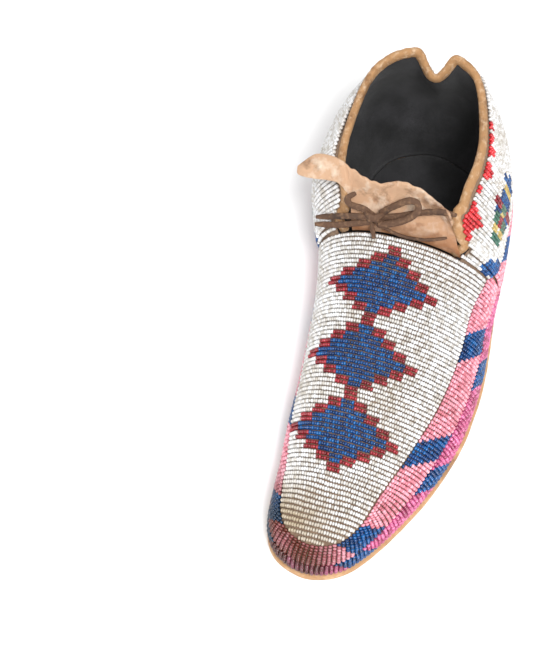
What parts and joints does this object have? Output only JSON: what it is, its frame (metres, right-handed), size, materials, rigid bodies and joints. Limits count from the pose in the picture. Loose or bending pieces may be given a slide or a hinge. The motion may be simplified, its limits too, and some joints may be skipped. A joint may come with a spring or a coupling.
{
  "type": "moccasin",
  "caption": "Soft hide moccasin with rawhide sole, beaded vamp and borders, bound collar, tongue that swings back and knotted thong tie.",
  "frame": {"origin": "on the underside of the sole, below the middle of the instep", "axes": "-Z out of the underside of the sole, +Y along the foot towards the heel, +X towards the little-toe side"},
  "size_m": [0.1254, 0.2932, 0.0863],
  "materials": {
    "rawhide": "golden tan rawhide, hard and slightly glossy, worn at the edge",
    "felt": "black wool felt",
    "hide": "soft tanned hide",
    "sinew": "twisted sinew thread",
    "magenta_beads": "opaque magenta seed beads",
    "pink_beads": "opaque dusty pink seed beads",
    "white_beads": "opaque chalk white seed beads in lanes, with blue, maroon, red, gold and green ones in the motifs",
    "buckskin": "brain tanned buckskin, suede nap, creased and smoke stained",
    "thong": "dark greased hide thong"
  },
  "bodies": {
    "root": {"sole": "rawhide", "insole": "felt", "upper": "hide", "lining": "felt", "sole_sinew": "sinew", "border_beadwork_lower": "magenta_beads", "border_beadwork_upper": "pink_beads", "vamp_beadwork": "white_beads", "ankle_beadwork_medial": "white_beads", "ankle_beadwork_lateral": "white_beads", "heel_seam_strip": "buckskin", "collar_binding": "buckskin", "tie_knot": "thong", "tie_strand_medial": "thong", "tie_strand_lateral": "thong", "tie_loop": "thong", "tie_end_upper": "thong", "tie_end_lower": "thong", "tie_end_short": "thong", "tie_strand_thin": "thong"},
    "tongue": {"tongue": "buckskin"}
  },
  "joints": [
    {"name": "tongue_fold", "type": "hinge", "parent": "root", "child": "tongue", "pos_m": [0, 0.044, 0.046], "axis": [-1, 0, 0], "range_deg": [0, 12]}
  ]
}
